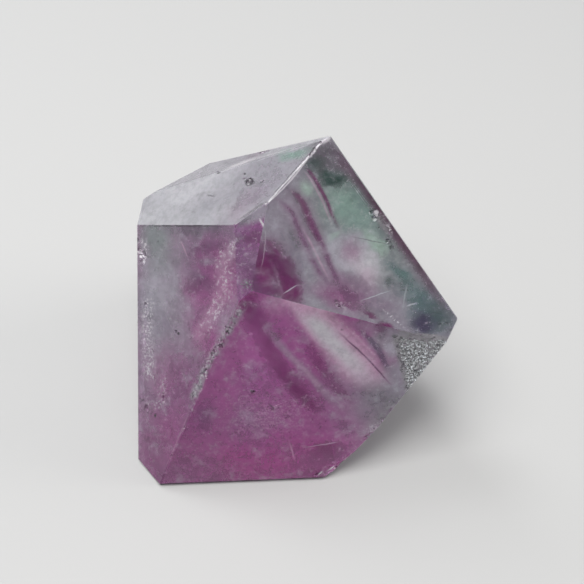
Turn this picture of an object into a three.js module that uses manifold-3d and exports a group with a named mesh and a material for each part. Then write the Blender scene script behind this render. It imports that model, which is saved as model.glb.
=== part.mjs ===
// A palm-sized block of banded fluorite, cut freehand into flat polished facets.
// Millimetres, +Z up. The stone stands on its flat base at z = 0, and the origin is the middle of
// its footprint. The front, with the two broad purple facets, looks toward -Y.
import * as THREE from 'three';
import { ConvexGeometry } from 'three/addons/geometries/ConvexGeometry.js';
import { mergeVertices } from 'three/addons/utils/BufferGeometryUtils.js';
import Module from 'manifold-3d';

// Facets. faces: compass direction in degrees, 0 = front (-Y), 90 = right (+X), -90 = left.
// tilt: 0 = lies level and looks up, 90 = upright, 180 = looks down.
// out: distance in millimetres from the cutting datum, which lies on the base plane.
const FACETS = {
  front: { faces: 2.7, tilt: 62.1, out: 22.4 },
  upper_right: { faces: 10.2, tilt: 45.4, out: 28.1 },
  middle: { faces: -27.3, tilt: 43.1, out: 31.45 },
  left: { faces: -51.6, tilt: 54.5, out: 28.9 },
  top_left: { faces: -84.2, tilt: 33, out: 38.8 },
  back_bevel: { faces: -120.5, tilt: 33, out: 42.9 },
  left_under: { faces: -99.3, tilt: 100.8, out: 24.4 },
  back_left: { faces: -163.7, tilt: 84.2, out: 27.7 },
  back: { faces: 165.2, tilt: 79, out: 22.7 },
  right_back: { faces: 134.2, tilt: 85.5, out: 17 },
  right_under: { faces: 96, tilt: 130.5, out: 4.4 },
  corner_under: { faces: 77, tilt: 129.5, out: 9.4 },
  corner_break: { faces: 36, tilt: 104, out: 22.7 },
  right_tip: { faces: 92, tilt: 97, out: 25.25 },
  base: { faces: 0, tilt: 180, out: 0 },
};

// Wear. Polishing left a narrow flat along every edge and a small one on every corner.
const EDGE_FLAT = 0.35;
const WORN_EDGES = {
  'left|front': 0.34,
  'left|top_left': 0.16,
  'upper_right|top_left': 0.28,
  'middle|top_left': 0.26,
  'top_left|back_bevel': 0.16,
  'front|base': 0.5,
  'upper_right|front': 0.18,
  'upper_right|middle': 0.1,
  'middle|front': 0.2,
  'middle|left': 0.16,
};
const CORNER_FLAT = 0.5;
const CORNER_WEAR = 0.22;

// Chips are groups of small bruises strewn from one point to another, pressed into one facet.
// size: mean radius of a bruise, deep: how far a bruise of that radius reaches below the facet,
// count: bruises in the group.
const CHIPS = [
  { on: 'top_left', from: [-8.1, 9.3, 41.8], to: [-7.1, 9.8, 42.2], size: 0.62, deep: 0.55, count: 5 },
  { on: 'top_left', from: [-8.7, 11.2, 41.3], to: [-8.3, 10.6, 41.5], size: 0.24, deep: 0.25, count: 2 },
  { on: 'top_left', from: [-5.4, 8.1, 43.4], to: [-4.9, 8.2, 43.6], size: 0.22, deep: 0.2, count: 2 },
  { on: 'top_left', from: [-11.9, 8.2, 39], to: [-10.8, 8.4, 39.7], size: 0.2, deep: 0.18, count: 2 },
  { on: 'back_bevel', from: [-13.5, 15.6, 38.2], to: [-13.3, 15.7, 38.4], size: 0.3, deep: 0.3, count: 2 },
  { on: 'back_bevel', from: [-7, 16.9, 41.5], to: [-3.5, 15.6, 43.9], size: 0.3, deep: 0.26, count: 3 },
  { on: 'left', from: [-28.1, 10.4, 27.3], to: [-27.5, 6.5, 25], size: 0.66, deep: 0.42, count: 7 },
  { on: 'left', from: [-26.6, -13.2, 7.9], to: [-26.2, -15, 6.9], size: 0.46, deep: 0.4, count: 4 },
  { on: 'left', from: [-23.2, -14.2, 11.2], to: [-22.7, -15.4, 10.2], size: 0.38, deep: 0.35, count: 3 },
  { on: 'left', from: [-20.8, -6.9, 20.5], to: [-20.6, -7.4, 20], size: 0.3, deep: 0.3, count: 2 },
  { on: 'left', from: [-27, 0.9, 20.4], to: [-26.9, -0.3, 19.5], size: 0.26, deep: 0.25, count: 2 },
  { on: 'left', from: [-25.3, -7, 15.3], to: [-25, -8.4, 14.3], size: 0.24, deep: 0.22, count: 2 },
  { on: 'left', from: [-11.3, -10.7, 28], to: [-17.8, -17.3, 15.1], size: 0.34, deep: 0.42, count: 10 },
  { on: 'front', from: [-10.6, -10.9, 28.2], to: [-16.5, -17.4, 16.5], size: 0.36, deep: 0.42, count: 10 },
  { on: 'front', from: [-17.6, -18.7, 14.1], to: [-22.7, -24.6, 3.6], size: 0.26, deep: 0.26, count: 3 },
  { on: 'front', from: [-7.5, -17.1, 16.4], to: [-7, -17.2, 16.2], size: 0.28, deep: 0.28, count: 2 },
  { on: 'front', from: [-4.4, -18.5, 13.4], to: [-3.4, -18.8, 12.9], size: 0.26, deep: 0.28, count: 3 },
  { on: 'front', from: [13, -21.3, 6.8], to: [16.2, -18.9, 10.6], size: 0.42, deep: 0.4, count: 6 },
  { on: 'front', from: [4, -24.8, 0.8], to: [5.8, -24, 2], size: 0.36, deep: 0.34, count: 3 },
  { on: 'corner_break', from: [6.5, -24, 1.2], to: [11, -22, 3.5], size: 0.5, deep: 0.3, count: 5 },
  { on: 'upper_right', from: [13.2, 3.4, 41], to: [14.4, 2.2, 39.7], size: 0.42, deep: 0.38, count: 3 },
  { on: 'upper_right', from: [15, 1.4, 38.9], to: [17.2, -0.9, 36.6], size: 0.48, deep: 0.4, count: 5 },
  { on: 'upper_right', from: [6.9, -8.1, 30.4], to: [9.2, -9.3, 29], size: 0.26, deep: 0.24, count: 4 },
  { on: 'upper_right', from: [-4.7, 3.1, 44], to: [-4.4, 2.4, 43.4], size: 0.3, deep: 0.34, count: 2 },
  { on: 'upper_right', from: [-2.6, 4.6, 45.4], to: [1.6, 8.2, 48], size: 0.2, deep: 0.24, count: 4 },
  { on: 'upper_right', from: [2.2, 8.6, 48.3], to: [5.2, 11.2, 50.4], size: 0.32, deep: 0.4, count: 6 },
  { on: 'upper_right', from: [25.2, -9.9, 26.3], to: [27.6, -9.4, 26.1], size: 0.28, deep: 0.26, count: 3 },
  { on: 'back', from: [3.5, 17.7, 26], to: [3.1, 18.6, 22], size: 0.4, deep: 0.36, count: 4 },
  { on: 'back', from: [-6.5, 25.1, 1], to: [-3, 24.2, 1.6], size: 0.42, deep: 0.38, count: 3 },
  { on: 'back_left', from: [-15.2, 21.6, 28], to: [-14.4, 22.3, 23.5], size: 0.38, deep: 0.34, count: 4 },
  { on: 'left_under', from: [-26.4, 18.9, 16], to: [-24.9, 20.4, 9], size: 0.4, deep: 0.36, count: 4 },
  { on: 'right_back', from: [18.2, 0.2, 36.2], to: [21.2, -2.6, 33], size: 0.36, deep: 0.34, count: 4 },
];

// Natural skin: the three-cornered patch at the right end of the front facet that was never cut.
// It is sunk a little below the facet and is finely grainy all over.
const SKIN_CORNERS = [
  [19, -11.8, 24],
  [26.7, -11.8, 23.3],
  [20.9, -15.8, 16.1],
];
const SKIN_ROWS = 13;
const SKIN_GRAIN = 0.48;
const SKIN_DEPTH = 0.3;
const SKIN_STRAY = 1.3;
const GRAIN_SIZES = [0.7, 1.4];
const GRAIN_DEPTHS = [0.7, 1.3];

// Bruises smaller than this are plain icosahedra; larger ones have four times the faces.
const PLAIN_BRUISE = 0.38;

// How bruises differ: how far they stray from the middle line of their group, their sizes and
// depths, and how far each corner is drawn in or out, all as shares of the mean.
const SPREAD = 1.6;
const BRUISE_SIZES = [0.55, 1.45];
const BRUISE_DEPTHS = [0.7, 1.2];
const STRETCH = [0.78, 1.22];
const SEED = 41;

const COLOUR = '#8d6b93';
const ROUGHNESS = 0.12;

const wasm = await Module();
wasm.setup();

function randomFrom(seed) {
  let state = seed;
  return () => {
    state = (state * 1664525 + 1013904223) % 4294967296;
    return state / 4294967296;
  };
}

function within([low, high], random) {
  return low + (high - low) * random();
}

function facetPlane({ faces, tilt, out }) {
  const turn = THREE.MathUtils.degToRad(faces);
  const lean = THREE.MathUtils.degToRad(tilt);
  const normal = new THREE.Vector3(
    Math.sin(turn) * Math.sin(lean),
    -Math.cos(turn) * Math.sin(lean),
    Math.cos(lean),
  );
  return { normal, out };
}

// Every point where three planes meet and which no other plane cuts away.
function cornersOf(planes) {
  const slack = 1e-6;
  const corners = [];
  const meet = new THREE.Matrix3();
  for (let i = 0; i < planes.length; i += 1) {
    for (let j = i + 1; j < planes.length; j += 1) {
      for (let k = j + 1; k < planes.length; k += 1) {
        const trio = [planes[i], planes[j], planes[k]];
        meet.set(...trio.flatMap((plane) => plane.normal.toArray()));
        if (Math.abs(meet.determinant()) < 1e-7) continue;
        const point = new THREE.Vector3(...trio.map((plane) => plane.out)).applyMatrix3(meet.invert());
        const outside = planes.some((plane) => plane.normal.dot(point) > plane.out + slack);
        const known = corners.some((corner) => corner.distanceTo(point) < 1e-4);
        if (!outside && !known) corners.push(point);
      }
    }
  }
  return corners;
}

function touches(plane, point) {
  return Math.abs(plane.normal.dot(point) - plane.out) < 1e-4;
}

function bisector(planes) {
  const normal = new THREE.Vector3();
  planes.forEach((plane) => normal.add(plane.normal));
  const length = normal.length();
  const out = planes.reduce((sum, plane) => sum + plane.out, 0) / length;
  return { normal: normal.divideScalar(length), out };
}

// A flat of the given width along the edge where two facets meet.
function edgeFlat(first, second, width) {
  const flat = bisector([first, second]);
  const halfTurn = first.normal.angleTo(second.normal) / 2;
  flat.out -= (width / 2) * Math.tan(halfTurn);
  return flat;
}

// A flat about as wide as CORNER_FLAT across a corner, never cut deeper than CORNER_WEAR.
function cornerFlat(planes, corner) {
  const flat = bisector(planes);
  const lean = Math.min(...planes.map((plane) => plane.normal.angleTo(flat.normal)));
  const wear = Math.min(CORNER_WEAR, (CORNER_FLAT / 2) * Math.tan(lean));
  flat.out = flat.normal.dot(corner) - wear;
  return flat;
}

// The facets, with the narrow flats that wear cut along their edges and corners.
function wornPlanes(facets) {
  const names = Object.keys(facets);
  const corners = cornersOf(Object.values(facets));
  const planes = Object.values(facets);
  for (let i = 0; i < names.length; i += 1) {
    for (let j = i + 1; j < names.length; j += 1) {
      const pair = [facets[names[i]], facets[names[j]]];
      const shared = corners.filter((corner) => pair.every((plane) => touches(plane, corner)));
      if (shared.length < 2) continue;
      const width = WORN_EDGES[`${names[i]}|${names[j]}`] ?? WORN_EDGES[`${names[j]}|${names[i]}`];
      planes.push(edgeFlat(...pair, width ?? EDGE_FLAT));
    }
  }
  for (const corner of corners) {
    const around = Object.values(facets).filter((plane) => touches(plane, corner));
    planes.push(cornerFlat(around, corner));
  }
  return planes;
}

function toManifold(geometry) {
  const bare = geometry.clone();
  bare.deleteAttribute('normal');
  bare.deleteAttribute('uv');
  const merged = mergeVertices(bare, 1e-5);
  const mesh = new wasm.Mesh({
    numProp: 3,
    vertProperties: new Float32Array(merged.attributes.position.array),
    triVerts: new Uint32Array(merged.index.array),
  });
  return new wasm.Manifold(mesh);
}

function toGeometry(solid) {
  const { vertProperties, triVerts } = solid.getMesh();
  const geometry = new THREE.BufferGeometry();
  geometry.setAttribute('position', new THREE.BufferAttribute(new Float32Array(vertProperties), 3));
  geometry.setIndex(new THREE.BufferAttribute(new Uint32Array(triVerts), 1));
  geometry.computeVertexNormals();
  return geometry;
}

// An irregular pebble shape: an icosahedron with each corner drawn in or out by chance.
function bruise(radius, detail, random) {
  const geometry = new THREE.IcosahedronGeometry(radius, detail);
  geometry.deleteAttribute('normal');
  geometry.deleteAttribute('uv');
  const merged = mergeVertices(geometry, 1e-5);
  const position = merged.attributes.position;
  for (let i = 0; i < position.count; i += 1) {
    const stretch = within(STRETCH, random);
    position.setXYZ(i, position.getX(i) * stretch, position.getY(i) * stretch, position.getZ(i) * stretch);
  }
  return merged;
}

// A point moved straight onto a facet.
function onFacet(facet, [x, y, z]) {
  const point = new THREE.Vector3(x, y, z);
  return point.addScaledVector(facet.normal, facet.out - facet.normal.dot(point));
}

function pressedIn(facet, place, radius, deep, detail, random) {
  const geometry = bruise(radius, detail, random);
  const angles = Array.from({ length: 3 }, () => random() * 2 * Math.PI);
  const centre = place.clone().addScaledVector(facet.normal, radius - deep);
  const turn = new THREE.Matrix4().makeRotationFromEuler(new THREE.Euler(...angles));
  geometry.applyMatrix4(turn.setPosition(centre));
  return toManifold(geometry);
}

function chipGroup(facets, { on, from, to, size, deep, count }, random) {
  const facet = facets[on];
  const start = onFacet(facet, from);
  const end = onFacet(facet, to);
  const scatter = () => (random() - 0.5) * size * SPREAD;
  return Array.from({ length: count }, () => {
    const place = start.clone().lerp(end, random());
    place.add(new THREE.Vector3(scatter(), scatter(), scatter()));
    const radius = size * within(BRUISE_SIZES, random);
    const detail = radius < PLAIN_BRUISE ? 0 : 1;
    const reach = (deep / size) * radius * within(BRUISE_DEPTHS, random);
    return pressedIn(facet, onFacet(facet, place), radius, reach, detail, random);
  });
}

// Overlapping grains in rows that shorten from the patch's top edge to its lower corner.
function skinGrains(facet, random) {
  const [left, right, low] = SKIN_CORNERS.map((corner) => onFacet(facet, corner));
  const grains = [];
  for (let row = 0; row < SKIN_ROWS; row += 1) {
    const down = row / (SKIN_ROWS - 1);
    const inRow = SKIN_ROWS - row;
    for (let step = 0; step < inRow; step += 1) {
      const across = inRow > 1 ? step / (inRow - 1) : 0.5;
      const top = left.clone().lerp(right, across);
      const place = top.lerp(low, down);
      place.x += (random() - 0.5) * SKIN_GRAIN * SKIN_STRAY;
      place.z += (random() - 0.5) * SKIN_GRAIN * SKIN_STRAY;
      const deep = SKIN_DEPTH * within(GRAIN_DEPTHS, random);
      const radius = SKIN_GRAIN * within(GRAIN_SIZES, random);
      grains.push(pressedIn(facet, onFacet(facet, place), radius, deep, 0, random));
    }
  }
  return grains;
}

function centredOnFootprint(geometry) {
  geometry.computeBoundingBox();
  const { min, max } = geometry.boundingBox;
  return geometry.translate(-(min.x + max.x) / 2, -(min.y + max.y) / 2, -min.z);
}

function fluorite() {
  const facets = Object.fromEntries(
    Object.entries(FACETS).map(([name, facet]) => [name, facetPlane(facet)]),
  );
  const block = toManifold(new ConvexGeometry(cornersOf(wornPlanes(facets))));
  const random = randomFrom(SEED);
  const bruises = CHIPS.flatMap((chip) => chipGroup(facets, chip, random));
  const grains = skinGrains(facets.front, random);
  const worn = [...bruises, ...grains].reduce((stone, cut) => stone.subtract(cut), block);
  const geometry = centredOnFootprint(toGeometry(worn));
  const material = new THREE.MeshStandardMaterial({ color: COLOUR, roughness: ROUGHNESS, metalness: 0 });
  const mesh = new THREE.Mesh(geometry, material);
  mesh.name = 'fluorite';
  return mesh;
}

const stone = new THREE.Group();
stone.add(fluorite());

export default stone;
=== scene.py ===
"""A palm-sized block of banded fluorite, standing on a pale studio floor.

The frame is in metres.  Marks in the stone are placed in millimetres on a sheet that leans back like
a page: u runs to the right, v runs up the page and w comes out of it toward the front.  A zone of
colour keeps its u and v all the way through the stone, as grown layers do.
"""

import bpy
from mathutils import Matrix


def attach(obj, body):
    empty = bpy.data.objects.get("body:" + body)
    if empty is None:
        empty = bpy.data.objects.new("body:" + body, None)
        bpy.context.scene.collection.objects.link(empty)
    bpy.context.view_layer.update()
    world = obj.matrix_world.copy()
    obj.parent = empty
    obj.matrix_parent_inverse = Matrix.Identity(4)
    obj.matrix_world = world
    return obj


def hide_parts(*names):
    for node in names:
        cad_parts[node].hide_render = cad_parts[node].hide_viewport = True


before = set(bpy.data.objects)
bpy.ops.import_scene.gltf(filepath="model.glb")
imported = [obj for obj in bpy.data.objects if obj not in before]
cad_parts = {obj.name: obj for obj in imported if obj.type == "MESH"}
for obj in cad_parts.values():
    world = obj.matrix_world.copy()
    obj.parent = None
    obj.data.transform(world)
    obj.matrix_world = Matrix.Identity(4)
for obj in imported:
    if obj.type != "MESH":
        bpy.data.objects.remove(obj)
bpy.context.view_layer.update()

import math

import bmesh
import bpy
from mathutils import Vector
from mathutils.geometry import intersect_point_tri_2d

MM = 0.001
PAGE_LEAN = 50.0  # degrees between the page's normal and the level
PAGE_LOW, PAGE_HIGH = -40.0, 50.0  # millimetres, the span that band paths are drawn in
SMALLEST_FACET = 18.0  # square millimetres; any smaller flat is wear
FLAT_WITHIN = 0.3  # degrees between neighbouring faces of one facet
NAMED_WITHIN = 2.0  # degrees between a facet and the direction that FACETS gives it
TRUE_TO_FACET = 0.9999  # cosine of the turn past which a face is wear
OFF_FACET = 0.01  # millimetres off a facet past which a face is wear
SKIN_CORNERS = ((17.2, 7.6), (29.0, 7.4), (20.4, -4.2))  # natural skin, on the page

# Tints of the stone, linear.
CLEAR = (0.90, 0.90, 0.93)
MILK = (0.74, 0.77, 0.82)
FOG = (0.42, 0.39, 0.45)
LILAC = (0.42, 0.25, 0.39)
ORCHID = (0.40, 0.10, 0.30)
PLUM = (0.22, 0.07, 0.185)
WINE = (0.20, 0.015, 0.13)
DUSK = (0.17, 0.10, 0.15)
BLUSH = (0.80, 0.50, 0.68)
SMOKE = (0.16, 0.15, 0.17)
SAGE = (0.33, 0.385, 0.375)
ROSE_PLUM = (0.45, 0.115, 0.34)
GRAPE = (0.34, 0.12, 0.31)
MAGENTA = (0.49, 0.055, 0.31)
SKIN_GREY = (0.36, 0.36, 0.365)
RUST_PLUM = (0.13, 0.05, 0.095)
SEA_GREEN = (0.37, 0.58, 0.48)
GLOW_GREEN = (0.62, 0.86, 0.70)
MOSS = (0.05, 0.105, 0.085)
TEAL = (0.16, 0.28, 0.265)
VIOLET = (0.08, 0.07, 0.13)
# White of frosted chips and wear, also laid on as painted highlights and glints.
FROST_AND_GLINT = (0.92, 0.88, 0.92)
SKIN_DARK = (0.075, 0.075, 0.085)
GRIT = (0.03, 0.028, 0.03)

# How the colour drifts between the marks.
VIOLET_DRIFT = 0.22
WISP_STRENGTH = 0.30
DARKEST_WISP = 0.74
DARKEST_MOTTLE = 0.84

# Fluorite itself.
FLUORITE_IOR = 1.434
HAZE = (0.88, 0.78, 0.88)
HAZE_DENSITY = 6.0  # per metre
COAT_WEIGHT = 0.8
COAT_ROUGHNESS = 0.03
POLISH_RIPPLE = 0.012  # millimetres
WORN_ROUGHNESS = 0.42
WORN_FROST = 0.45  # how white the speckles on a worn edge turn

# Natural skin and the small grains strewn over it, in millimetres.
SKIN_ROUGHNESS = 0.5
SKIN_RELIEF = 0.12
GRAINS_PER_SQUARE = 22.0
SMALLEST_GRAIN = 0.07
LARGEST_GRAIN = 0.17
LEAST_SQUASH, MOST_SQUASH = 0.7, 1.3
GRAIN_SEED = 5

# Studio: lamps stand at metres from the origin, and a spread is in degrees.
FLOOR_TINT = (0.425, 0.42, 0.412)
FLOOR_ROUGHNESS = 0.7
FLOOR_SIZE = 4
FLOOR_DROP = 0.3  # millimetres under the stone
ROOM_TINT = (0.93, 0.96, 1.0)
ROOM_FRONT = 0.19
ROOM_BACK = 0.68
CEILING_WATTS = 5.55
WINDOW_WATTS = 4.6
SIDE_WATTS = 0.15
SIDE_SPREAD = 50
LIT_POINT = (0, 0, 0.02)

# Camera, in metres.
CAMERA_TARGET = (-0.000237, 0.00452, 0.018)
CAMERA_DISTANCE = 0.240
CAMERA_NEAREST = 0.005
SENSOR_WIDTH = 36
PICTURE_WIDTH = 584  # pixels
PIXELS_PER_MILLIMETRE = 5.35  # at the target
LIGHT_BOUNCES = 16


def cloud(tint, centre, size, turn=0.0, core=0.2, strength=1.0, grain=None):
    """A soft oval of colour: centre and half sizes in millimetres, turn in degrees."""

    def mask(recipe, place):
        oval = recipe.add("ShaderNodeMapping", {"Vector": place}, vector_type="TEXTURE")
        oval.inputs["Location"].default_value = (*centre, 0)
        oval.inputs["Rotation"].default_value = (0, 0, math.radians(turn))
        oval.inputs["Scale"].default_value = (*size, 10000.0)
        reach = recipe.add("ShaderNodeVectorMath", {0: oval.outputs[0]}, operation="LENGTH")
        return recipe.step(reach.outputs["Value"], 1.0, core)

    return {"tint": tint, "mask": mask, "strength": strength, "grain": grain}


def streak(tint, start, end, width, core=0.4, strength=1.0, grain=None):
    """A straight thin line of colour, widest halfway: width is its half width there."""
    run, rise = end[0] - start[0], end[1] - start[1]
    middle = ((start[0] + end[0]) / 2, (start[1] + end[1]) / 2)
    half = math.hypot(run, rise) / 2
    return cloud(tint, middle, (half, width), math.degrees(math.atan2(rise, run)), core, strength, grain)


def band(tint, path, width, core=0.2, strength=1.0, grain=None, ends=(1.5, 1.5)):
    """A layer seen edge on: path is a list of (u, v) from top to bottom, width is its half width."""

    def share(value):
        return (value - PAGE_LOW) / (PAGE_HIGH - PAGE_LOW)

    def mask(recipe, place):
        split = recipe.add("ShaderNodeSeparateXYZ", {0: place})
        up = recipe.add("ShaderNodeMapRange", {"Value": split.outputs["Y"]})
        up.inputs["From Min"].default_value = PAGE_LOW
        up.inputs["From Max"].default_value = PAGE_HIGH
        trail = recipe.add("ShaderNodeFloatCurve", {"Value": up.outputs["Result"]})
        points = trail.mapping.curves[0].points
        route = sorted(((share(v), share(u)) for u, v in path))
        points[0].location = route[0]
        points[1].location = route[-1]
        for stop in route[1:-1]:
            points.new(*stop)
        trail.mapping.update()
        across = recipe.add("ShaderNodeMapRange", {"Value": trail.outputs[0]})
        across.inputs["To Min"].default_value = PAGE_LOW
        across.inputs["To Max"].default_value = PAGE_HIGH
        off = recipe.math("SUBTRACT", split.outputs["X"], across.outputs["Result"])
        beside = recipe.step(recipe.math("ABSOLUTE", off), width, width * core)
        top, bottom = path[0][1], path[-1][1]
        below_top = recipe.step(split.outputs["Y"], top + ends[0] / 2, top - ends[0] / 2)
        above_end = recipe.step(split.outputs["Y"], bottom - ends[1] / 2, bottom + ends[1] / 2)
        return recipe.math("MULTIPLY", beside, recipe.math("MULTIPLY", below_top, above_end))

    return {"tint": tint, "mask": mask, "strength": strength, "grain": grain}


def patch(tint, corners, border=0.3, strength=1.0, grain=None):
    """A straight-sided patch of colour: corners in millimetres, clockwise, border is its soft rim."""

    def mask(recipe, place):
        inside = 1.0
        for start, end in zip(corners, corners[1:] + corners[:1]):
            run, rise = end[0] - start[0], end[1] - start[1]
            length = math.hypot(run, rise)
            inward = (rise / length, -run / length, 0.0)
            depth = recipe.add("ShaderNodeVectorMath", {0: place, 1: inward}, operation="DOT_PRODUCT")
            edge = start[0] * inward[0] + start[1] * inward[1]
            within = recipe.step(depth.outputs["Value"], edge - border / 2, edge + border / 2)
            inside = recipe.math("MULTIPLY", inside, within)
        return inside

    return {"tint": tint, "mask": mask, "strength": strength, "grain": grain}


# The ridge between the left and front facets, and the chipped edge up to the top with a painted highlight
# along it.
RIDGE_MARKS = [
    band(SAGE, [(-8.6, 13.0), (-12.2, 6.6), (-15.6, 1.1), (-17.8, -4.0)], 1.5, core=0.0, strength=0.7,
         grain="patches"),
    band(FROST_AND_GLINT, [(-9.0, 12.6), (-12.0, 7.6), (-14.3, 4.0), (-15.8, 1.1), (-17.8, -4.0)], 1.15, core=0.2,
         strength=0.5, grain="fine"),
    band(GRIT, [(-10.0, 11.0), (-12.4, 6.6), (-14.3, 4.0), (-15.8, 1.1), (-17.6, -3.6)], 1.0, core=0.3,
         strength=0.9, grain="pits"),
    streak(BLUSH, (-17.6, -3.8), (-24.2, -20.1), 0.12, strength=0.35),
]
# Along the top edge: a painted highlight, a thin bright white line and a bright spot at the apex, with dark
# grey streaks beside it and frosted chips at its upper end.
TOP_EDGE_CHIPS_AND_HIGHLIGHT = [
    cloud(FROST_AND_GLINT, (5.7, 41.4), (1.5, 0.8), turn=50, core=0.5),
    streak(SMOKE, (-10.4, 26.8), (-3.6, 31.2), 0.3, core=0.3, strength=0.6),
    streak(SMOKE, (-5.4, 29.4), (5.6, 41.9), 0.3, core=0.3, strength=0.6),
    band(FROST_AND_GLINT, [(5.9, 41.9), (5.1, 41.0), (-4.2, 30.4), (-10.1, 26.6)], 0.24, core=0.6, ends=(0.4, 0.4)),
    band(FROST_AND_GLINT, [(6.6, 42.6), (4.6, 40.4), (0.6, 35.8)], 0.36, core=0.5, grain="patches"),
]
# Painted highlight: two bright white streaks on the back bevel stand in for the window lamp's reflection.
BEVEL_WINDOW_HIGHLIGHT = [
    streak(FROST_AND_GLINT, (-14.0, 36.5), (-5.0, 39.4), 0.6, core=0.2, strength=0.95),
    streak(FROST_AND_GLINT, (-9.0, 38.2), (1.0, 40.2), 0.22, strength=0.5),
]
# A thin dark line along the edge between the left and top-left facets.
SKIRT_LINE = streak(GRIT, (-28.6, 27.2), (-10.2, 26.4), 0.17, core=0.5, strength=0.7)

TOP_LAYERS = {
    "base": CLEAR,
    "zones": [
        cloud(FOG, (-2, 36.5), (14, 8), turn=28, core=0.1, strength=0.6),
        cloud(FOG, (-14, 31), (12, 4), turn=20, core=0.0, strength=0.5),
        cloud(LILAC, (-8.5, 29.9), (10, 3.2), turn=36, core=0.1, strength=0.5),
        cloud(SEA_GREEN, (0.3, 38.7), (4.0, 1.5), turn=15, strength=0.9),
        cloud(SMOKE, (5.0, 41.0), (6.0, 3.0), turn=30, core=0.0, strength=0.8),
    ],
    "bands": [],
    "marks": [
        cloud(SMOKE, (-7.7, 34.3), (1.1, 0.85), core=0.5, strength=0.9),
        cloud(GRIT, (-7.7, 34.3), (1.2, 0.95), core=0.5, strength=0.9, grain="coarse"),
        cloud(GRIT, (-8.6, 35.9), (0.32, 0.26), core=0.5, strength=0.8),
        streak(GRIT, (-13.9, 36.3), (-12.9, 36.6), 0.22, strength=0.8),
        streak(SMOKE, (-15.6, 32.4), (-13.8, 32.0), 0.18, strength=0.6),
        *BEVEL_WINDOW_HIGHLIGHT,
        SKIRT_LINE,
        *TOP_EDGE_CHIPS_AND_HIGHLIGHT,
    ],
}
BEVEL_LAYERS = {
    "base": CLEAR,
    "zones": [
        cloud(FOG, (-14, 37), (26, 5), turn=15, core=0.2, strength=0.6),
        cloud(SEA_GREEN, (0.3, 39.4), (4.0, 1.4), turn=15, strength=0.8),
        cloud(LILAC, (-6, 40), (5, 1.2), turn=15, strength=0.4),
    ],
    "bands": [],
    "marks": [
        *BEVEL_WINDOW_HIGHLIGHT,
    ],
}
LEFT_LAYERS = {
    "base": LILAC,
    "zones": [
        cloud(FOG, (-24, 12), (9, 22), core=0.2, strength=0.75),
        cloud(MILK, (-25.5, 15), (5.0, 11), core=0.0, strength=0.38),
        cloud(SMOKE, (-17.5, 26.2), (9, 2.4), core=0.1, strength=0.7),
        cloud(SAGE, (-25.0, 24.8), (5.0, 4.0), core=0.2, strength=0.85),
        cloud(SAGE, (-24.0, 21.5), (5.0, 5.0), core=0.0, strength=0.55),
        cloud(ORCHID, (-14.0, 18.0), (7.2, 8.0), turn=-8, core=0.45, strength=0.9),
        cloud(PLUM, (-14.5, 22.7), (5.6, 1.5), turn=3, core=0.1, strength=0.62),
        cloud(FOG, (-15.0, 20.2), (3.0, 1.2), core=0.0, strength=0.5),
        cloud(PLUM, (-16.4, 16.4), (4.0, 2.6), turn=-30, core=0.2, strength=0.85),
        cloud(ORCHID, (-15.4, 6.5), (4.8, 9.0), turn=10, core=0.2, strength=0.85),
        cloud(SMOKE, (-17.0, 3.5), (3.6, 5.5), turn=20, core=0.0, strength=0.25),
        cloud(PLUM, (-16.5, 10.5), (2.6, 2.2), turn=10, core=0.0, strength=0.5),
        cloud(ORCHID, (-23, -15), (9, 13), core=0.3, strength=0.95),
        cloud(PLUM, (-25.5, -14.0), (5.5, 9.0), core=0.0, strength=0.6),
        cloud(FOG, (-18.4, 19.0), (2.6, 4.4), core=0.0, strength=0.4),
        cloud(ORCHID, (-21, -3), (7.5, 12), turn=15, core=0.1, strength=0.7),
        cloud(PLUM, (-19.5, -1), (4.5, 9), turn=20, core=0.0, strength=0.5),
    ],
    "bands": [
        band(BLUSH, [(-10.4, 23.4), (-12.2, 19.6), (-12.6, 14.5), (-15.4, 9.5), (-16.4, 6.5)], 2.3, core=0.0,
             strength=0.36, ends=(3, 5)),
    ],
    "marks": [
        band(FROST_AND_GLINT, [(-10.6, 23.8), (-12.0, 20.4), (-11.8, 15.5), (-14.0, 11.0), (-16.4, 7.5)], 2.4, core=0.3,
             strength=0.85, grain="clusters", ends=(2, 4)),
        band(FROST_AND_GLINT, [(-26.4, 14), (-26.7, 8), (-26.2, -1)], 1.8, core=0.2, strength=0.95, grain="fine"),
        band(FROST_AND_GLINT, [(-23.4, 0), (-23.8, -3), (-24.6, -6)], 1.2, core=0.1, strength=0.6, grain="fine"),
        cloud(FROST_AND_GLINT, (-27.5, 22.6), (1.3, 3.0), core=0.5, strength=0.95, grain="coarse"),
        cloud(SMOKE, (-26.6, 21.4), (0.5, 0.9), strength=0.7, grain="coarse"),
        cloud(GRIT, (-27.9, -4.8), (0.8, 0.5), grain="coarse"),
        cloud(GRIT, (-26.3, -6.7), (0.8, 1.0), core=0.4, grain="coarse"),
        cloud(FROST_AND_GLINT, (-25.7, -5.6), (1.8, 1.2), strength=0.5, grain="fine"),
        cloud(GRIT, (-25.2, -7.5), (0.35, 0.5)),
        cloud(GRIT, (-20.6, 7.6), (0.36, 0.4)),
        streak(BLUSH, (-20.3, 24.6), (-18.6, 20.8), 0.17, strength=0.6),
        SKIRT_LINE,
        *RIDGE_MARKS,
    ],
}
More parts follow.
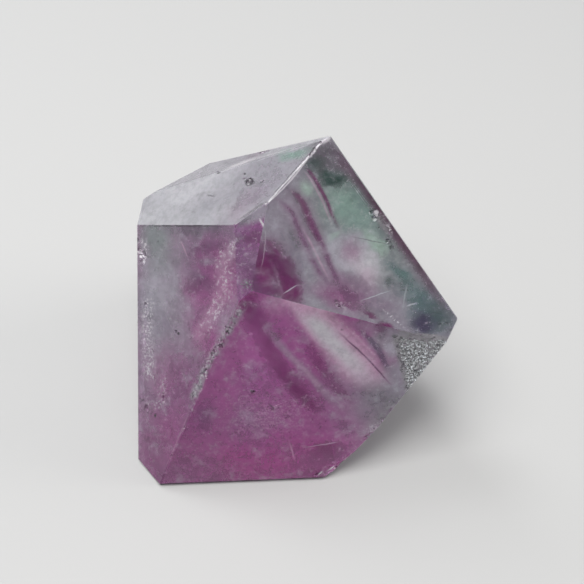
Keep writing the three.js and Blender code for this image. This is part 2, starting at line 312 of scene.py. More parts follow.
MIDDLE_LAYERS = {
    "base": GRAPE,
    "zones": [
        cloud(FOG, (-7.4, 20.6), (2.6, 3.6), core=0.0, strength=0.3),
        cloud(PLUM, (-7.6, 24.4), (4.4, 1.8), turn=5, core=0.2, strength=0.85),
        cloud(PLUM, (-7.2, 17.5), (3.4, 4.8), turn=10, core=0.1, strength=0.6),
        cloud(LILAC, (-9.6, 17.5), (1.8, 5.5), core=0.0, strength=0.4),
    ],
    "bands": [],
    "marks": [
        cloud(FOG, (-7.0, 28.6), (4.8, 2.3), turn=12, core=0.4, strength=0.95),
        cloud(SMOKE, (-8.4, 27.2), (2.6, 1.0), turn=35, core=0.0, strength=0.6),
        band(FROST_AND_GLINT, [(-10.2, 24.0), (-11.2, 19.6), (-10.8, 14.0)], 1.5, core=0.1, strength=0.7, grain="fine",
             ends=(2, 3)),
        streak(FROST_AND_GLINT, (-5.9, 27.8), (-5.0, 26.0), 0.26, core=0.5),
        band(FROST_AND_GLINT, [(-4.8, 25.4), (-4.95, 22.2), (-5.7, 18.5)], 0.16, core=0.3, strength=0.35, ends=(1, 3)),
        cloud(GRIT, (-8.1, 16.5), (1.4, 1.2), strength=0.7, grain="coarse"),
        cloud(GLOW_GREEN, (-8.0, 16.4), (1.5, 1.1), strength=0.6, grain="fine"),
        *RIDGE_MARKS,
    ],
}
RIGHT_LAYERS = {
    "base": FOG,
    "zones": [
        cloud(SAGE, (12, 27), (17, 11), turn=-48, core=0.4),
        cloud(MILK, (9.0, 21.5), (8.5, 7.5), turn=25, core=0.15, strength=0.85),
        cloud(CLEAR, (12.0, 21.0), (6.8, 4.8), turn=-28, core=0.2, strength=0.95),
        cloud(SEA_GREEN, (10.2, 29.0), (9.5, 5.0), turn=-48, core=0.1, strength=0.85),
        cloud(TEAL, (12.0, 31.0), (6.0, 2.4), turn=-52, core=0.0, strength=0.35),
        cloud(SMOKE, (6.4, 37.6), (5.4, 4.6), turn=-40, core=0.3, strength=0.95),
        cloud(MOSS, (6.8, 34.7), (3.4, 1.9), turn=-12, core=0.3),
        cloud(MOSS, (3.8, 36.6), (2.8, 2.0), turn=30, core=0.0, strength=0.85),
        cloud(GLOW_GREEN, (2.3, 32.6), (1.7, 1.9), turn=-20, core=0.0, strength=0.75),
        cloud(GLOW_GREEN, (14.3, 23.6), (3.8, 2.0), turn=-42, core=0.2),
        cloud(GLOW_GREEN, (7.2, 24.9), (2.4, 0.9), turn=35, core=0.0, strength=0.5),
        cloud(LILAC, (9.8, 21.8), (4.0, 4.6), turn=15, core=0.0, strength=0.7),
        cloud(BLUSH, (10.1, 21.6), (2.4, 3.4), turn=15, core=0.0, strength=0.4),
        cloud(BLUSH, (13.0, 17.6), (3.8, 3.4), turn=20, core=0.0, strength=0.45),
        cloud(TEAL, (18.9, 18.2), (5.5, 1.8), turn=-50, core=0.0, strength=0.9),
        cloud(MOSS, (17.0, 16.4), (1.6, 1.6), turn=-50, core=0.0, strength=0.6),
        cloud(TEAL, (23.4, 12.6), (8.5, 5.5), turn=-42, core=0.2, strength=0.95),
        cloud(MOSS, (25.5, 11.4), (5.0, 3.4), turn=-42, core=0.0, strength=0.7),
        cloud(VIOLET, (23.0, 10.0), (3.2, 2.6), turn=-10, core=0.2),
        cloud(LILAC, (9.9, 16.2), (7.5, 2.9), turn=-22, core=0.1, strength=0.8),
        cloud(SMOKE, (10.6, 16.6), (3.2, 2.0), turn=-22, core=0.0, strength=0.35),
        cloud(ORCHID, (8.5, 14.0), (8, 3.0), turn=-22, core=0.0, strength=0.85),
        cloud(PLUM, (9.6, 14.9), (2.8, 1.2), turn=-25, core=0.0, strength=0.8),
        cloud(WINE, (13.4, 11.2), (2.4, 0.9), turn=-30, core=0.1, strength=0.9),
        cloud(WINE, (16.6, 8.6), (2.9, 1.0), turn=-28, core=0.1, strength=0.95),
        cloud(FOG, (16.0, 12.9), (5.4, 2.2), turn=-12, core=0.3),
        cloud(PLUM, (14.0, 13.2), (5.6, 1.8), turn=-20, core=0.0, strength=0.4),
        cloud(SMOKE, (0.2, 25.0), (2.0, 5.0), turn=18, core=0.0, strength=0.55),
        cloud(SMOKE, (12.0, 12.4), (6.0, 2.0), turn=-25, core=0.0, strength=0.4),
        cloud(PLUM, (-5.2, 17.8), (3.4, 8.0), turn=8, core=0.5),
        cloud(WINE, (-1.8, 18.2), (8.8, 3.8), turn=-63, core=0.3, strength=0.75),
        cloud(WINE, (-3.1, 21.2), (5.2, 2.0), turn=-63, core=0.1, strength=0.95),
        cloud(WINE, (-0.7, 16.6), (5.4, 2.5), turn=-63, core=0.25),
    ],
    "bands": [
        cloud(WINE, (-5.0, 18.4), (2.0, 4.8), turn=10, core=0.2, strength=0.85),
        band(LILAC, [(-3.4, 19.5), (-2.7, 17.0), (-1.8, 14.6)], 0.5, core=0.0, strength=0.4),
        band(BLUSH, [(2.1, 35.4), (3.2, 33.9), (4.2, 32.0), (5.3, 29.6), (6.3, 27.4)], 0.34, core=0.0,
             strength=0.5, ends=(1, 3)),
        band(WINE, [(2.6, 35.9), (3.8, 34.1), (4.8, 32.3), (5.9, 29.9), (7.2, 27.0)], 0.7, core=0.0,
             strength=0.9, ends=(1, 6)),
        band(LILAC, [(0.4, 31.6), (2.4, 28.0), (4.2, 24.0), (6.0, 19.6), (7.6, 15.8)], 2.6, core=0.0,
             strength=0.5, ends=(5, 4)),
        band(LILAC, [(-1.6, 30.2), (1.0, 25.8), (2.4, 22.6), (5.4, 16.4)], 1.9, core=0.0, strength=0.4,
             ends=(5, 4)),
        band(SMOKE, [(-0.4, 32.0), (1.2, 30.0), (2.4, 27.4), (3.6, 24.4)], 1.5, core=0.0, strength=0.55,
             ends=(1, 5)),
        band(WINE, [(0.0, 32.0), (1.6, 30.2), (2.9, 27.4), (4.1, 24.6), (5.3, 22.2)], 1.05, core=0.0,
             strength=0.72, ends=(2, 7)),
        band(PLUM, [(2.9, 27.4), (4.1, 24.6), (5.3, 22.2), (6.3, 19.8), (7.8, 16.6)], 1.0, core=0.0,
             strength=0.72, ends=(5, 3)),
        band(PLUM, [(-1.8, 30.2), (-0.2, 28.6), (1.0, 25.8), (2.4, 22.6), (3.6, 20.1), (5.4, 17.0)], 0.95,
             core=0.0, strength=0.65, ends=(3, 4)),
        band(BLUSH, [(2.1, 25.2), (3.4, 22.6), (4.7, 20.0), (5.8, 17.8)], 0.36, core=0.0, strength=0.55,
             ends=(3, 2)),
        band(DUSK, [(8.7, 37.5), (17.4, 25.4), (21.4, 19.8), (25.8, 13.4)], 2.2, core=0.0, strength=0.76,
             ends=(9, 7)),
        band(RUST_PLUM, [(10.9, 34.9), (17.9, 25.5), (22.9, 18.3)], 1.6, core=0.0, strength=0.8,
             ends=(8, 7)),
    ],
    "marks": [
        cloud(FROST_AND_GLINT, (14.6, 28.3), (1.5, 0.9), turn=-55, core=0.3, strength=0.95, grain="coarse"),
        cloud(FROST_AND_GLINT, (16.4, 25.8), (1.3, 0.8), turn=-55, core=0.3, strength=0.95, grain="coarse"),
        cloud(SKIN_GREY, (15.4, 27.0), (2.8, 1.1), turn=-55, core=0.2, strength=0.7, grain="patches"),
        cloud(FROST_AND_GLINT, (14.3, 28.8), (0.55, 0.4), core=0.6),
        cloud(FROST_AND_GLINT, (12.4, 28.2), (1.2, 0.5), turn=-20, strength=0.6, grain="fine"),
        cloud(FROST_AND_GLINT, (8.0, 13.0), (1.8, 1.0), turn=-30, strength=0.7, grain="coarse"),
        cloud(GRIT, (8.0, 13.0), (1.7, 1.0), turn=-30, strength=0.8, grain="pits"),
        streak(FROST_AND_GLINT, (14.6, 12.9), (20.6, 7.7), 0.36, core=0.2, grain="fine"),
        streak(SMOKE, (9.4, 24.7), (17.6, 23.1), 0.16, strength=0.5),
        streak(MILK, (10.8, 13.2), (17.8, 15.6), 0.15, strength=0.6),
        streak(MILK, (-2.0, 14.6), (0.9, 16.4), 0.16, strength=0.7),
        streak(MILK, (20.0, 17.5), (18.9, 11.4), 0.22, core=0.0, strength=0.5),
        streak(MILK, (19.5, 12.5), (21.6, 13.2), 0.2, strength=0.7),
        streak(FROST_AND_GLINT, (-5.9, 27.8), (-5.0, 26.0), 0.26, core=0.5),
        band(FROST_AND_GLINT, [(-4.8, 25.4), (-4.95, 22.2), (-5.7, 18.5)], 0.16, core=0.3, strength=0.25, ends=(1, 3)),
        cloud(FROST_AND_GLINT, (24, 11), (6.5, 4.5), turn=-40, core=0.4, strength=0.8, grain="specks"),
        cloud(FROST_AND_GLINT, (7, 39), (5.5, 3.0), turn=-40, core=0.2, strength=0.5, grain="specks"),
        cloud(WINE, (-5.0, 18.0), (2.0, 3.2), turn=10, core=0.1, strength=0.6),
        cloud(DUSK, (9.0, 37.4), (3.8, 2.6), turn=-50, core=0.1, strength=0.5),
        cloud(SKIN_GREY, (23.4, 6.9), (4.8, 1.0), turn=-4, core=0.7, strength=0.9),
        cloud(GRIT, (23.4, 6.9), (4.8, 1.0), turn=-4, core=0.7, strength=0.8, grain="coarse"),
        *TOP_EDGE_CHIPS_AND_HIGHLIGHT,
    ],
}
FRONT_LAYERS = {
    "base": ROSE_PLUM,
    "zones": [
        cloud(LILAC, (13, -5), (9, 14), turn=40, core=0.1, strength=0.95),
        cloud(FOG, (16.0, -2), (5, 10), turn=-40, core=0.1, strength=0.85),
        cloud(FOG, (16.5, 6.5), (5.0, 4.5), turn=-35, core=0.2, strength=0.9),
        cloud(MILK, (17.0, 5.0), (2.0, 3.2), turn=-35, core=0.0, strength=0.5),
        cloud(WINE, (-6.9, 11.8), (3.0, 4.4), turn=25, core=0.1, strength=0.8),
        cloud(BLUSH, (-3.6, 12.6), (3.4, 2.2), turn=-20, core=0.0, strength=0.35),
        cloud(VIOLET, (-15.2, -7.0), (2.8, 4.2), turn=-25, core=0.0, strength=0.35),
        cloud(PLUM, (16.2, 8.9), (4.6, 1.7), turn=-18, core=0.45),
        cloud(LILAC, (-6, -8), (8, 4), core=0.0, strength=0.35),
        # Painted glow: a faint pink strip along the bottom edge stands in for light shining through the stone
        # there.
        cloud(BLUSH, (-4.5, -18.9), (13, 1.6), core=0.0, strength=0.16),
        cloud(LILAC, (13.6, -0.8), (3.2, 3.6), turn=-40, core=0.0, strength=0.65),
        cloud(PLUM, (9.0, -9.0), (4.0, 2.0), turn=-30, core=0.0, strength=0.5),
        cloud(WINE, (4.8, -13.8), (7.6, 2.3), turn=8, core=0.1),
        cloud(WINE, (3, -18.5), (9, 2.6), turn=5, core=0.0, strength=0.7),
        cloud(MAGENTA, (-3, -16.0), (18, 8), core=0.15, strength=0.9),
        cloud(LILAC, (12.5, 9.0), (4.5, 2.0), turn=-18, core=0.2, strength=0.9),
        cloud(SMOKE, (15.2, -2.2), (4.8, 8), turn=-40, core=0.0, strength=0.6),
        cloud(FOG, (19.0, -2.8), (2.4, 4.6), turn=-43, core=0.3, strength=0.9),
        cloud(FOG, (18.6, 0.6), (3.2, 5.4), turn=-30, core=0.2, strength=0.85),
        cloud(SKIN_GREY, (15.5, -7.0), (2.2, 8.0), turn=-43, core=0.0, strength=0.7),
        cloud(FOG, (19.6, 7.4), (5.0, 1.6), turn=-14, core=0.4, strength=0.9),
        cloud(SKIN_GREY, (22.0, 8.3), (4.6, 1.3), turn=-12, core=0.5, strength=0.95),
        cloud(SMOKE, (16.6, -3.8), (3.0, 4.4), turn=-43, core=0.1, strength=0.35),
        cloud(PLUM, (7.0, -14.6), (6.0, 3.0), turn=12, core=0.0, strength=0.6),
    ],
    "bands": [
        band(BLUSH, [(0.9, 13.8), (4.8, 9.4), (9.4, 4.5), (12.6, -0.5)], 6.0, core=0.3, ends=(2, 5)),
        band(CLEAR, [(3.0, 10.6), (6.2, 7.0), (9.8, 3.2), (12.0, 0.4)], 3.4, core=0.1, strength=0.88,
             ends=(3, 9)),
        band(WINE, [(-8.4, 14.6), (-7.0, 12.1), (-5.2, 7.5), (-2.9, 2.9), (-0.2, -0.9), (3.2, -5.4)], 3.2,
             core=0.0, strength=0.62, ends=(3, 3)),
        band(WINE, [(-2.4, 1.8), (-0.2, -1.6), (3.4, -5.8)], 2.1, core=0.0, strength=0.68, ends=(4, 2)),
        band(LILAC, [(-4.0, 8.4), (-1.1, 4.5), (2.2, 1.1), (5.4, -2.6), (7.2, -4.8)], 1.5, core=0.1,
             strength=0.95, ends=(6, 3)),
        band(BLUSH, [(-1.1, 4.5), (2.2, 1.1), (5.4, -2.6)], 0.9, core=0.0, strength=0.3, ends=(4, 3)),
        band(ORCHID, [(-1.4, 12.4), (0.6, 8.8), (3.0, 5.0), (5.5, 1.4)], 1.9, core=0.0, strength=0.8,
             ends=(4, 4)),
        band(WINE, [(3.0, 4.8), (5.4, 1.2), (7.4, -1.6), (10.0, -4.5)], 2.0, core=0.0,
             strength=0.5, ends=(5, 3)),
        band(PLUM, [(9.0, 7.2), (13.0, 3.2), (16.9, -0.9)], 0.34, core=0.1, strength=0.85, ends=(3, 3)),
        band(VIOLET, [(12.0, 7.8), (14.4, 5.2), (16.4, 1.6)], 1.25, core=0.0, strength=0.7, ends=(3, 3)),
        band(BLUSH, [(9.8, 8.4), (11.6, 6.6), (14.2, 3.8)], 0.5, core=0.0, strength=0.5, ends=(3, 3)),
    ],
    "marks": [
        cloud(BLUSH, (-5, -7), (12, 6), core=0.0, strength=0.4, grain="fine"),
        cloud(GRIT, (-7.2, -2.5), (0.7, 0.35), turn=-10, strength=0.8, grain="coarse"),
        streak(GRIT, (-4.6, -4.7), (-3.0, -6.0), 0.3, core=0.2, strength=0.7, grain="patches"),
        streak(BLUSH, (-1.0, -11.0), (0.6, -16.6), 0.3, core=0.0, strength=0.5),
        streak(MILK, (1.2, -13.2), (9.4, -11.9), 0.14, strength=0.4),
        # Painted glints: three small bright white flecks along the bottom edge stand in for light catching
        # its chipped rim.
        cloud(FROST_AND_GLINT, (4.9, -18.0), (0.9, 0.2), turn=45, strength=0.9),
        cloud(FROST_AND_GLINT, (6.9, -17.1), (1.1, 0.24), turn=35, strength=0.9),
        cloud(FROST_AND_GLINT, (8.9, -16.1), (0.7, 0.3), turn=50, strength=0.9),
        cloud(FROST_AND_GLINT, (14.5, -9.5), (3.0, 1.2), turn=35, strength=0.6, grain="fine"),
        cloud(GRIT, (8.4, 8.4), (0.6, 0.4), strength=0.6, grain="coarse"),
        streak(MILK, (3.6, 5.8), (10.2, 4.4), 0.12, strength=0.4),
        cloud(SKIN_GREY, (17.8, -5.4), (5.4, 2.0), turn=47, core=0.3, strength=0.75, grain="coarse"),
        cloud(GRIT, (17.6, -6.6), (5.0, 1.2), turn=47, core=0.1, strength=0.35, grain="pits"),
        cloud(FROST_AND_GLINT, (18.9, 4.6), (1.4, 2.6), turn=15, core=0.1, strength=0.5, grain="patches"),
        patch(SKIN_GREY, SKIN_CORNERS, border=0.9),
        patch(SKIN_DARK, SKIN_CORNERS, border=0.9, strength=0.75, grain="coarse"),
        *RIDGE_MARKS,
    ],
}
# The unseen side carries the same layers right through the stone.
BACK_LAYERS = {
    "base": FOG,
    "zones": [
        cloud(CLEAR, (-16, 32), (20, 14), core=0.3),
        cloud(ORCHID, (-12, 0), (22, 24), core=0.2, strength=0.8),
        cloud(ORCHID, (-8, -16), (24, 9), core=0.2),
        cloud(CLEAR, (11, 20), (10, 8), turn=-50, core=0.0, strength=0.8),
        cloud(SEA_GREEN, (12, 30), (10, 6), turn=-50, core=0.3, strength=0.7),
        cloud(TEAL, (24, 13), (8, 6), turn=-50),
    ],
    "bands": [
        band(WINE, [(-6.6, 26.0), (-3.4, 15.0), (3.2, -5.4)], 2.5, core=0.0, strength=0.8, ends=(4, 4)),
        band(PLUM, [(0.0, 32.0), (4.1, 22.6), (9.9, -4.3)], 1.3, core=0.0, strength=0.8, ends=(4, 4)),
        band(PLUM, [(8.0, 34.0), (13.0, 22.0), (16.9, -0.9)], 0.7, core=0.0, strength=0.7, ends=(4, 4)),
    ],
    "marks": [],
}


# Cut facets: which way each looks (compass degrees from the front, tilt from level), its finish and layers.
FACETS = {
    "front": {"heading": 2.7, "tilt": 62.1, "clearness": 0.55, "rough": 0.2, "layers": FRONT_LAYERS},
    "upper_right": {"heading": 10.2, "tilt": 45.4, "clearness": 0.55, "rough": 0.2, "layers": RIGHT_LAYERS},
    "middle": {"heading": -27.3, "tilt": 43.1, "clearness": 0.55, "rough": 0.24, "layers": MIDDLE_LAYERS},
    "left": {"heading": -51.6, "tilt": 54.5, "clearness": 0.55, "rough": 0.24, "layers": LEFT_LAYERS},
    "top_left": {"heading": -84.2, "tilt": 33.0, "clearness": 0.62, "rough": 0.14, "layers": TOP_LAYERS},
    "back_bevel": {"heading": -120.5, "tilt": 33.0, "clearness": 0.62, "rough": 0.14, "layers": BEVEL_LAYERS},
    "back": {"clearness": 0.7, "rough": 0.2, "layers": BACK_LAYERS},
}


def heading_normal(facet):
    """The outward direction of a facet."""
    face, lean = math.radians(facet["heading"]), math.radians(facet["tilt"])
    return Vector((math.sin(face) * math.sin(lean), -math.cos(face) * math.sin(lean), math.cos(lean)))


class Recipe:
    """Lays out the shader nodes of one material, or the nodes of one group."""

    def __init__(self, name="", tree=None):
        self.tree = tree
        if tree is None:
            self.material = bpy.data.materials.new(name)
            self.material.use_nodes = True
            self.tree = self.material.node_tree
            self.shader = self.tree.nodes["Principled BSDF"]
            self.output = self.tree.nodes["Material Output"]

    def feed(self, socket, value):
        """Joins a socket to another node's output, or sets it."""
        if isinstance(value, bpy.types.NodeSocket):
            self.tree.links.new(value, socket)
        elif isinstance(value, tuple) and socket.type == "RGBA":
            socket.default_value = (*value, 1.0)
        else:
            socket.default_value = value

    def add(self, kind, inputs=(), **settings):
        node = self.tree.nodes.new(kind)
        for key, value in settings.items():
            setattr(node, key, value)
        for key, value in dict(inputs).items():
            self.feed(node.inputs[key], value)
        return node

    def math(self, operation, first, second=0.0):
        return self.add("ShaderNodeMath", {0: first, 1: second}, operation=operation).outputs[0]

    def step(self, value, low, high):
        """0 at low, 1 at high, smooth between them."""
        inputs = {"Value": value, "From Min": low, "From Max": high}
        node = self.add("ShaderNodeMapRange", inputs, interpolation_type="SMOOTHSTEP")
        return node.outputs["Result"]

    def between(self, share, low, high):
        """Turns 0 to 1 into low to high."""
        node = self.add("ShaderNodeMapRange", {"Value": share, "To Min": low, "To Max": high})
        return node.outputs["Result"]

    def noise(self, place, scale, detail=3.0, rough=0.55, output="Fac"):
        inputs = {"Vector": place, "Scale": scale, "Detail": detail, "Roughness": rough}
        return self.add("ShaderNodeTexNoise", inputs).outputs[output]

    def stain(self, under, tint, mask):
        """Lays a tint over a colour where the mask says."""
        node = self.add("ShaderNodeMix", data_type="RGBA")
        self.feed(node.inputs["Factor"], mask)
        self.feed(node.inputs[6], under)
        self.feed(node.inputs[7], tint)
        return node.outputs[2]

    def shade(self, under, light, darkest):
        """Darkens a colour where light falls from 1 to 0."""
        node = self.add("ShaderNodeMix", data_type="RGBA", blend_type="MULTIPLY")
        node.inputs["Factor"].default_value = 1.0
        self.feed(node.inputs[6], under)
        self.feed(node.inputs[7], self.between(light, darkest, 1.0))
        return node.outputs[2]

    def bump(self, height, deep):
        """Relief from a height of 0 to 1, deep millimetres in all."""
        node = self.add("ShaderNodeBump", {"Height": height})
        node.inputs["Distance"].default_value = deep * MM
        return node.outputs["Normal"]

    def page(self):
        """The place on the leaning page, in millimetres."""
        place = self.add("ShaderNodeTexCoord").outputs["Object"]
        node = self.add("ShaderNodeMapping", {"Vector": place}, vector_type="POINT")
        node.inputs["Rotation"].default_value = (math.radians(PAGE_LEAN - 90), 0, 0)
        node.inputs["Scale"].default_value = (1 / MM, 1 / MM, 1 / MM)
        return node.outputs["Vector"]

    def drift(self, place, reach, scale, detail=2.0):
        """Moves a place a little, so that borders wander."""
        swirl = self.noise(place, scale, detail, output="Color")
        centred = self.add("ShaderNodeVectorMath", {0: swirl, 1: (0.5, 0.5, 0.5)}, operation="SUBTRACT")
        scaled = self.add("ShaderNodeVectorMath", {0: centred.outputs[0]}, operation="SCALE")
        scaled.inputs["Scale"].default_value = reach
        moved = self.add("ShaderNodeVectorMath", {0: place, 1: scaled.outputs[0]}, operation="ADD")
        return moved.outputs[0]

    def lay(self, tint, layer, place, grains):
        """Lays one cloud, streak or band over the tint, through its grain if it has one."""
        mask = layer["mask"](self, place)
        if layer["strength"] < 1:
            mask = self.math("MULTIPLY", mask, layer["strength"])
        if layer["grain"]:
            mask = self.math("MULTIPLY", mask, grains[layer["grain"]])
        return self.stain(tint, layer["tint"], mask)


def grown_tint(recipe, page, layers):
    """The colour of the stone on one facet: zones, then bands, wisps and dust, then the sharp marks."""
    bent = recipe.drift(page, 0.9, 0.12)
    wandering = recipe.drift(recipe.drift(page, 3.4, 0.13), 1.8, 0.6, 3.0)
    frayed = recipe.drift(page, 0.3, 1.2)
    fine = recipe.noise(page, 2.6, 3.0, 0.6)
    mottle = recipe.noise(page, 0.9, 4.0, 0.65)
    coarse = recipe.noise(page, 1.3, 4.0, 0.65)
    grains = {
        "fine": recipe.step(fine, 0.50, 0.62),
        "coarse": recipe.step(coarse, 0.50, 0.58),
        "pits": recipe.step(coarse, 0.44, 0.38),
        "specks": recipe.step(fine, 0.66, 0.72),
        "patches": recipe.step(mottle, 0.36, 0.56),
        "clusters": recipe.math("MULTIPLY", recipe.step(fine, 0.48, 0.60), recipe.step(mottle, 0.44, 0.60)),
    }
    tint = layers["base"]
    for zone in layers["zones"]:
        tint = recipe.lay(tint, zone, wandering, grains)
    swing = recipe.step(recipe.noise(page, 0.09, 2.0, 0.5), 0.42, 0.66)
    tint = recipe.stain(tint, VIOLET, recipe.math("MULTIPLY", swing, VIOLET_DRIFT))
    for layer in layers["bands"]:
        tint = recipe.lay(tint, layer, bent, grains)
    wisps = recipe.noise(wandering, 0.35, 5.0, 0.62)
    milky = recipe.math("MULTIPLY", recipe.step(wisps, 0.50, 0.76), WISP_STRENGTH)
    tint = recipe.stain(tint, MILK, milky)
    tint = recipe.shade(tint, recipe.step(wisps, 0.26, 0.48), DARKEST_WISP)
    tint = recipe.shade(tint, recipe.step(mottle, 0.34, 0.62), DARKEST_MOTTLE)
    for mark in layers["marks"]:
        tint = recipe.lay(tint, mark, frayed, grains)
    return tint


def cut_finish(name, facet):
    """See-through fluorite as cut and polished on one facet, frosted and rough where it is worn."""
    recipe = Recipe("fluorite " + name.replace("_", " "))
    page = recipe.page()
    tint = grown_tint(recipe, page, facet["layers"])
    worn = recipe.add("ShaderNodeAttribute", attribute_name="worn").outputs["Fac"]
    speckle = recipe.step(recipe.noise(page, 1.4, 4.0, 0.7), 0.54, 0.66)
    frost = recipe.math("MULTIPLY", recipe.math("MULTIPLY", speckle, worn), WORN_FROST)
    recipe.feed(recipe.shader.inputs["Base Color"], recipe.stain(tint, FROST_AND_GLINT, frost))
    smear = recipe.between(recipe.step(recipe.noise(page, 0.4, 4.0, 0.6), 0.3, 0.7), 0.7, 1.3)
    polish = recipe.math("MULTIPLY", smear, facet["rough"])
    rough = recipe.math("MAXIMUM", polish, recipe.math("MULTIPLY", worn, WORN_ROUGHNESS))
    recipe.feed(recipe.shader.inputs["Roughness"], rough)
    recipe.feed(recipe.shader.inputs["Transmission Weight"], facet["clearness"])
    recipe.feed(recipe.shader.inputs["IOR"], FLUORITE_IOR)
    recipe.feed(recipe.shader.inputs["Coat Weight"], COAT_WEIGHT)
    recipe.feed(recipe.shader.inputs["Coat Roughness"], COAT_ROUGHNESS)
    ripple = recipe.bump(recipe.noise(page, 1.1, 2.0, 0.5), POLISH_RIPPLE)
    recipe.feed(recipe.shader.inputs["Normal"], ripple)
    depth = recipe.add("ShaderNodeVolumeAbsorption", {"Color": HAZE, "Density": HAZE_DENSITY})
    recipe.feed(recipe.output.inputs["Volume"], depth.outputs["Volume"])
    return recipe.material


def natural_skin():
    """The dull grey crust that was never cut: salt-and-pepper grains with a few bright ones."""
    recipe = Recipe("natural grey skin")
    page = recipe.page()
    grains = recipe.noise(page, 3.2, 3.0, 0.7)
    tint = recipe.stain(SKIN_DARK, SKIN_GREY, recipe.step(grains, 0.36, 0.50))
    tint = recipe.stain(tint, MILK, recipe.step(grains, 0.53, 0.62))
    recipe.feed(recipe.shader.inputs["Base Color"], tint)
    recipe.feed(recipe.shader.inputs["Roughness"], SKIN_ROUGHNESS)
    recipe.feed(recipe.shader.inputs["IOR"], FLUORITE_IOR)
    relief = recipe.bump(recipe.noise(page, 3.0, 4.0, 0.7), SKIN_RELIEF)
    recipe.feed(recipe.shader.inputs["Normal"], relief)
    return recipe.material


def facet_planes(solid):
    """Finds the flat facets of the stone and names them: the unseen ones are all 'back'."""
    flats = solid.copy()
    limit = math.radians(FLAT_WITHIN)
    bmesh.ops.dissolve_limit(flats, angle_limit=limit, verts=flats.verts, edges=flats.edges)
    planes = []
    for face in flats.faces:
        if face.calc_area() > SMALLEST_FACET * MM * MM:
            name = "back"
            for facet_name, facet in FACETS.items():
                seen = "heading" in facet
                if seen and face.normal.angle(heading_normal(facet)) < math.radians(NAMED_WITHIN):
                    name = facet_name
            planes.append((name, face.normal.copy(), face.normal.dot(face.verts[0].co)))
    flats.free()
    return planes


def on_skin(point):
    """True within the three-cornered patch of natural skin, seen along the page's normal."""
    lean = math.radians(PAGE_LEAN)
    place = Vector((point.x, point.y * math.sin(lean) + point.z * math.cos(lean))) / MM
    left, right, low = (Vector(corner) for corner in SKIN_CORNERS)
    return intersect_point_tri_2d(place, left, right, low) != 0


def strewn_grains():
    """A tree that strews small angular grains over the marked faces and keeps the stone under them."""
    tree = bpy.data.node_groups.new("strewn grains", "GeometryNodeTree")
    sockets = {
        "Stone": "Geometry", "Mark": "String", "Per Square Millimetre": "Float", "Smallest": "Float",
        "Largest": "Float", "Seed": "Int", "Finish": "Material",
    }
    for name, kind in sockets.items():
        tree.interface.new_socket(name, in_out="INPUT", socket_type="NodeSocket" + kind)
    tree.interface.new_socket("Stone", in_out="OUTPUT", socket_type="NodeSocketGeometry")
    recipe = Recipe(tree=tree)
    given = recipe.add("NodeGroupInput").outputs
    mark = recipe.add("GeometryNodeInputNamedAttribute", {"Name": given["Mark"]}, data_type="FLOAT")
    density = recipe.math("MULTIPLY", given["Per Square Millimetre"], 1 / (MM * MM))
    density = recipe.math("MULTIPLY", density, mark.outputs["Attribute"])
    inputs = {"Mesh": given["Stone"], "Density": density, "Seed": given["Seed"]}
    strewn = recipe.add("GeometryNodeDistributePointsOnFaces", inputs, distribute_method="RANDOM")
    grain = recipe.add("GeometryNodeMeshIcoSphere", {"Radius": 1.0, "Subdivisions": 1})
    turn = recipe.add("FunctionNodeRandomValue", {"Seed": given["Seed"]}, data_type="FLOAT_VECTOR")
    turn.inputs[1].default_value = (math.tau, math.tau, math.tau)
    squash = recipe.add("FunctionNodeRandomValue", {"Seed": given["Seed"]}, data_type="FLOAT_VECTOR")
    squash.inputs[0].default_value = (LEAST_SQUASH, LEAST_SQUASH, LEAST_SQUASH)
    squash.inputs[1].default_value = (MOST_SQUASH, MOST_SQUASH, MOST_SQUASH)
    size = recipe.add("FunctionNodeRandomValue", {"Seed": given["Seed"]}, data_type="FLOAT")
    recipe.feed(size.inputs[2], given["Smallest"])
    recipe.feed(size.inputs[3], given["Largest"])
    scale = recipe.add("ShaderNodeVectorMath", {0: squash.outputs[0]}, operation="SCALE")
    recipe.feed(scale.inputs["Scale"], recipe.math("MULTIPLY", size.outputs[1], MM))
    inputs = {
        "Points": strewn.outputs["Points"], "Instance": grain.outputs["Mesh"],
        "Rotation": turn.outputs[0], "Scale": scale.outputs[0],
    }
    placed = recipe.add("GeometryNodeInstanceOnPoints", inputs)
    joined = recipe.add("GeometryNodeJoinGeometry")
    solid = recipe.add("GeometryNodeRealizeInstances", {"Geometry": placed.outputs["Instances"]})
    inputs = {"Geometry": solid.outputs[0], "Material": given["Finish"]}
    finished = recipe.add("GeometryNodeSetMaterial", inputs)
    recipe.feed(joined.inputs[0], finished.outputs["Geometry"])
    recipe.feed(joined.inputs[0], given["Stone"])
    recipe.add("NodeGroupOutput", {"Stone": joined.outputs["Geometry"]})
    return tree


def strew(block, tree, **values):
    """Adds the grains to the block, with these inputs."""
    modifier = block.modifiers.new("grains", "NODES")
    modifier.node_group = tree
    for item in tree.interface.items_tree:
        key = item.name.lower().replace(" ", "_")
        if item.in_out == "INPUT" and key in values:
            modifier[item.identifier] = values[key]


def settle(block):
    """Turns the block and its grains into one plain mesh."""
    graph = bpy.context.evaluated_depsgraph_get()
    plain = bpy.data.meshes.new_from_object(block.evaluated_get(graph))
    block.modifiers.clear()
    block.data = plain
    plain.name = "banded_fluorite"
    while plain.materials and plain.materials[-1] is None:
        plain.materials.pop()


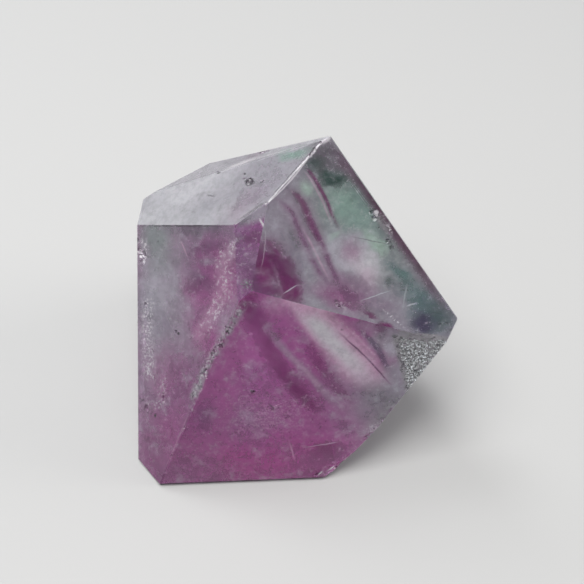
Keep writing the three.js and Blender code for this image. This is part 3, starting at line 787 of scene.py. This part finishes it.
def stone():
    """The one solid, each face in the finish of its facet and marked where it is worn."""
    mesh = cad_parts["fluorite"].data.copy()
    mesh.materials.clear()
    solid = bmesh.new()
    solid.from_mesh(mesh)
    bmesh.ops.remove_doubles(solid, verts=solid.verts, dist=0.001 * MM)
    planes = facet_planes(solid)
    slots = list(FACETS)
    worn = solid.faces.layers.float.new("worn")
    skin = solid.faces.layers.float.new("skin")
    for face in solid.faces:
        face.smooth = False
        middle = face.calc_center_median()
        name, normal, out = min(planes, key=lambda plane: abs(plane[1].dot(middle) - plane[2]))
        face.material_index = slots.index(name)
        close = abs(normal.dot(middle) - out) < OFF_FACET * MM
        if not close or face.normal.dot(normal) <= TRUE_TO_FACET:
            face[worn] = 1.0
            if name == "front" and on_skin(middle):
                face.material_index = len(slots)
                face[skin] = 1.0
    solid.to_mesh(mesh)
    solid.free()
    for name, facet in FACETS.items():
        mesh.materials.append(cut_finish(name, facet))
    mesh.materials.append(natural_skin())
    block = bpy.data.objects.new("banded_fluorite", mesh)
    bpy.context.scene.collection.objects.link(block)
    strew(block, strewn_grains(), mark="skin", per_square_millimetre=GRAINS_PER_SQUARE,
          smallest=SMALLEST_GRAIN, largest=LARGEST_GRAIN, seed=GRAIN_SEED, finish=mesh.materials[-1])
    settle(block)
    return block


def softbox(name, place, size, energy, tint, spread=180):
    """A square lamp that looks at the stone: spread is the width of its beam in degrees."""
    lamp = bpy.data.lights.new(name, "AREA")
    lamp.size = size
    lamp.energy = energy
    lamp.spread = math.radians(spread)
    lamp.color = tint
    box = bpy.data.objects.new(name, lamp)
    box.location = place
    box.rotation_euler = (Vector(LIT_POINT) - box.location).to_track_quat("-Z", "Y").to_euler()
    bpy.context.scene.collection.objects.link(box)


def studio():
    """Pale floor, lamps above, behind and to the right, and a room that is dimmer in front."""
    scene = bpy.context.scene
    bpy.ops.mesh.primitive_plane_add(size=FLOOR_SIZE, location=(0, 0, -FLOOR_DROP * MM))
    floor = bpy.context.object
    floor.name = "studio_floor"
    recipe = Recipe("pale floor")
    recipe.feed(recipe.shader.inputs["Base Color"], FLOOR_TINT)
    recipe.feed(recipe.shader.inputs["Roughness"], FLOOR_ROUGHNESS)
    floor.data.materials.append(recipe.material)
    world = bpy.data.worlds.new("soft room light")
    scene.world = world
    world.use_nodes = True
    room = Recipe(tree=world.node_tree)
    around = room.add("ShaderNodeTexCoord").outputs["Generated"]
    back_to_front = room.add("ShaderNodeSeparateXYZ", {0: around}).outputs["Y"]
    fade = room.add("ShaderNodeMapRange", {"Value": back_to_front, "From Min": -1.0})
    fade.inputs["To Min"].default_value = ROOM_FRONT
    fade.inputs["To Max"].default_value = ROOM_BACK
    light = world.node_tree.nodes["Background"]
    room.feed(light.inputs["Color"], ROOM_TINT)
    room.feed(light.inputs["Strength"], fade.outputs["Result"])
    softbox("ceiling", (-0.16, -0.06, 0.72), 0.5, CEILING_WATTS, (1.0, 1.0, 1.0))
    softbox("window", (-0.45, 0.60, 0.75), 0.4, WINDOW_WATTS, (0.96, 0.98, 1.0))
    softbox("side", (0.42, 0.06, 0.13), 0.26, SIDE_WATTS, (1.0, 0.98, 0.96), SIDE_SPREAD)


def camera():
    """Looks down at the stone, square to the page."""
    scene = bpy.context.scene
    lens = bpy.data.cameras.new("camera")
    lens.sensor_width = SENSOR_WIDTH
    lens.lens = SENSOR_WIDTH * PIXELS_PER_MILLIMETRE * CAMERA_DISTANCE / MM / PICTURE_WIDTH
    lens.clip_start = CAMERA_NEAREST
    seat = bpy.data.objects.new("camera", lens)
    target = Vector(CAMERA_TARGET)
    lean = math.radians(PAGE_LEAN)
    seat.location = target + CAMERA_DISTANCE * Vector((0, -math.cos(lean), math.sin(lean)))
    seat.rotation_euler = (math.radians(90 - PAGE_LEAN), 0, 0)
    scene.collection.objects.link(seat)
    scene.camera = seat


def see_through():
    """Lets light pass through the stone often enough for its inside to show."""
    scene = bpy.context.scene
    scene.cycles.max_bounces = LIGHT_BOUNCES
    scene.cycles.transmission_bounces = LIGHT_BOUNCES
    scene.cycles.transparent_max_bounces = LIGHT_BOUNCES
    scene.cycles.caustics_refractive = True
    scene.cycles.caustics_reflective = False
    scene.view_settings.view_transform = "Standard"


block = stone()
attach(block, "root")
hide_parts("fluorite")
studio()
camera()
see_through()
